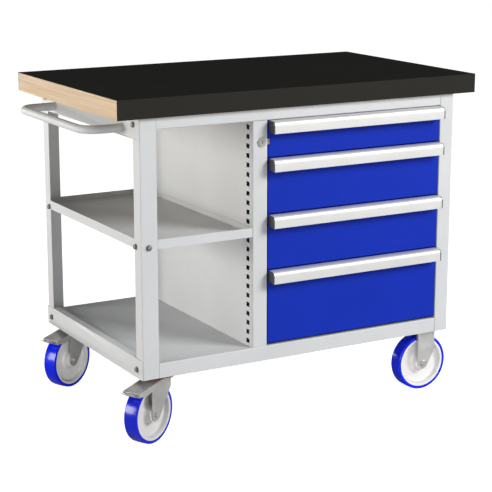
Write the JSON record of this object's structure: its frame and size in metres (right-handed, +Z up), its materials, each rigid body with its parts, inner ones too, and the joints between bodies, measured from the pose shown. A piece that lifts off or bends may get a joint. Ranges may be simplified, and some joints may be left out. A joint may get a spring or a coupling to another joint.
{
  "type": "mobile workbench with drawers",
  "caption": "Wheeled workbench: covered wooden top on a steel frame with open shelves beside a drawer cabinet, a push handle and braked swivel castors.",
  "frame": {"origin": "on the floor, in the middle of the whole object's length and depth", "axes": "+Z up, front with the drawers faces -Y, push handle at -X"},
  "size_m": [1.1396, 0.6762, 0.9045],
  "materials": {
    "frame_paint": "light grey powder coat, fine texture, semi-matt",
    "drawer_paint": "bright blue powder coat, semi-matt",
    "drawer_box_paint": "light grey powder coat inside the drawers",
    "grip_aluminium": "natural anodised, satin",
    "cap_plastic": "dark grey moulded plastic",
    "slide_steel": "galvanised sheet",
    "wheel_tyre": "blue polyurethane tread, glossy",
    "wheel_polyamide": "light grey polyamide",
    "castor_zinc": "zinc-plated pressed steel",
    "bolt_steel": "zinc-plated",
    "seal_red": "red moulded seal ring",
    "lock_metal": "nickel-plated",
    "worktop_wood": "laminated beech board, oiled",
    "worktop_covering": "black fine-textured covering, matt"
  },
  "bodies": {
    "root": {"base_side_plate": "frame_paint", "base_tray": "frame_paint", "cabinet_back": "frame_paint", "cabinet_rails": "slide_steel", "cabinet_side_left": "frame_paint", "cabinet_side_right": "frame_paint", "castor_bolts": "bolt_steel", "castor_seals": "seal_red", "castor_supports": "slide_steel", "fixed_axles": "castor_zinc", "fixed_front_fork": "castor_zinc", "fixed_rear_fork": "castor_zinc", "frame_bolts": "bolt_steel", "leg_front_left": "frame_paint", "leg_rear_left": "frame_paint", "lock_housing": "lock_metal", "push_handle": "frame_paint", "shelf_tray": "frame_paint", "swivel_front_plate": "castor_zinc", "swivel_rear_plate": "castor_zinc", "top_rail_front": "frame_paint", "top_rail_rear": "frame_paint", "upper_side_plate": "frame_paint", "worktop_core": "worktop_wood", "worktop_cover": "worktop_covering"},
    "drawer_1": {"drawer_1_front": "drawer_paint", "drawer_1_box": "drawer_box_paint", "drawer_1_grip": "grip_aluminium", "drawer_1_end_caps": "cap_plastic"},
    "drawer_1_slide_pair": {"drawer_1_slides": "slide_steel"},
    "drawer_2": {"drawer_2_front": "drawer_paint", "drawer_2_box": "drawer_box_paint", "drawer_2_grip": "grip_aluminium", "drawer_2_end_caps": "cap_plastic"},
    "drawer_2_slide_pair": {"drawer_2_slides": "slide_steel"},
    "drawer_3": {"drawer_3_front": "drawer_paint", "drawer_3_box": "drawer_box_paint", "drawer_3_grip": "grip_aluminium", "drawer_3_end_caps": "cap_plastic"},
    "drawer_3_slide_pair": {"drawer_3_slides": "slide_steel"},
    "drawer_4": {"drawer_4_front": "drawer_paint", "drawer_4_box": "drawer_box_paint", "drawer_4_grip": "grip_aluminium", "drawer_4_end_caps": "cap_plastic"},
    "drawer_4_slide_pair": {"drawer_4_slides": "slide_steel"},
    "swivel_front": {"swivel_front_fork": "castor_zinc", "swivel_front_pins": "castor_zinc"},
    "swivel_front_wheel": {"swivel_front_rim": "wheel_polyamide", "swivel_front_tyre": "wheel_tyre"},
    "swivel_front_brake": {"swivel_front_lever": "castor_zinc"},
    "fixed_front_wheel": {"fixed_front_rim": "wheel_polyamide", "fixed_front_tyre": "wheel_tyre"},
    "swivel_rear": {"swivel_rear_fork": "castor_zinc", "swivel_rear_pins": "castor_zinc"},
    "swivel_rear_wheel": {"swivel_rear_rim": "wheel_polyamide", "swivel_rear_tyre": "wheel_tyre"},
    "swivel_rear_brake": {"swivel_rear_lever": "castor_zinc"},
    "fixed_rear_wheel": {"fixed_rear_rim": "wheel_polyamide", "fixed_rear_tyre": "wheel_tyre"},
    "lock": {"lock_cylinder": "lock_metal"}
  },
  "joints": [
    {"name": "drawer_1_pull", "type": "slide", "parent": "root", "child": "drawer_1", "axis": [0, -1, 0], "range_m": [0, 0.5]},
    {"name": "drawer_1_slide_pull", "type": "slide", "parent": "root", "child": "drawer_1_slide_pair", "axis": [0, -1, 0], "range_m": [0, 0.25]},
    {"name": "drawer_2_pull", "type": "slide", "parent": "root", "child": "drawer_2", "axis": [0, -1, 0], "range_m": [0, 0.5]},
    {"name": "drawer_2_slide_pull", "type": "slide", "parent": "root", "child": "drawer_2_slide_pair", "axis": [0, -1, 0], "range_m": [0, 0.25]},
    {"name": "drawer_3_pull", "type": "slide", "parent": "root", "child": "drawer_3", "axis": [0, -1, 0], "range_m": [0, 0.5]},
    {"name": "drawer_3_slide_pull", "type": "slide", "parent": "root", "child": "drawer_3_slide_pair", "axis": [0, -1, 0], "range_m": [0, 0.25]},
    {"name": "drawer_4_pull", "type": "slide", "parent": "root", "child": "drawer_4", "axis": [0, -1, 0], "range_m": [0, 0.5]},
    {"name": "drawer_4_slide_pull", "type": "slide", "parent": "root", "child": "drawer_4_slide_pair", "axis": [0, -1, 0], "range_m": [0, 0.25]},
    {"name": "swivel_front_turn", "type": "hinge", "parent": "root", "child": "swivel_front", "pos_m": [-0.38075, -0.25652, 0.1775], "axis": [0, 0, 1], "continuous": true},
    {"name": "swivel_front_roll", "type": "hinge", "parent": "swivel_front", "child": "swivel_front_wheel", "pos_m": [-0.42975, -0.28149, 0.08], "axis": [-0.454, 0.891, 0], "continuous": true},
    {"name": "swivel_front_brake_press", "type": "hinge", "parent": "swivel_front", "child": "swivel_front_brake", "pos_m": [-0.48143, -0.30782, 0.147], "axis": [0.454, -0.891, 0], "range_deg": [0, 12]},
    {"name": "swivel_rear_turn", "type": "hinge", "parent": "root", "child": "swivel_rear", "pos_m": [-0.38075, 0.27948, 0.1775], "axis": [0, 0, 1], "continuous": true},
    {"name": "swivel_rear_roll", "type": "hinge", "parent": "swivel_rear", "child": "swivel_rear_wheel", "pos_m": [-0.42975, 0.25451, 0.08], "axis": [-0.454, 0.891, 0], "continuous": true},
    {"name": "swivel_rear_brake_press", "type": "hinge", "parent": "swivel_rear", "child": "swivel_rear_brake", "pos_m": [-0.48143, 0.22818, 0.147], "axis": [0.454, -0.891, 0], "range_deg": [0, 12]},
    {"name": "fixed_front_roll", "type": "hinge", "parent": "root", "child": "fixed_front_wheel", "pos_m": [0.44225, -0.25652, 0.08], "axis": [0, 1, 0], "continuous": true},
    {"name": "fixed_rear_roll", "type": "hinge", "parent": "root", "child": "fixed_rear_wheel", "pos_m": [0.44225, 0.27948, 0.08], "axis": [0, 1, 0], "continuous": true},
    {"name": "lock_turn", "type": "hinge", "parent": "root", "child": "lock", "pos_m": [-0.10425, -0.30252, 0.7655], "axis": [0, -1, 0], "range_deg": [0, 90]}
  ],
  "couplings": [
    {"joint": "drawer_1_slide_pull", "follows": "drawer_1_pull", "ratio": 0.5},
    {"joint": "drawer_2_slide_pull", "follows": "drawer_2_pull", "ratio": 0.5},
    {"joint": "drawer_3_slide_pull", "follows": "drawer_3_pull", "ratio": 0.5},
    {"joint": "drawer_4_slide_pull", "follows": "drawer_4_pull", "ratio": 0.5}
  ]
}
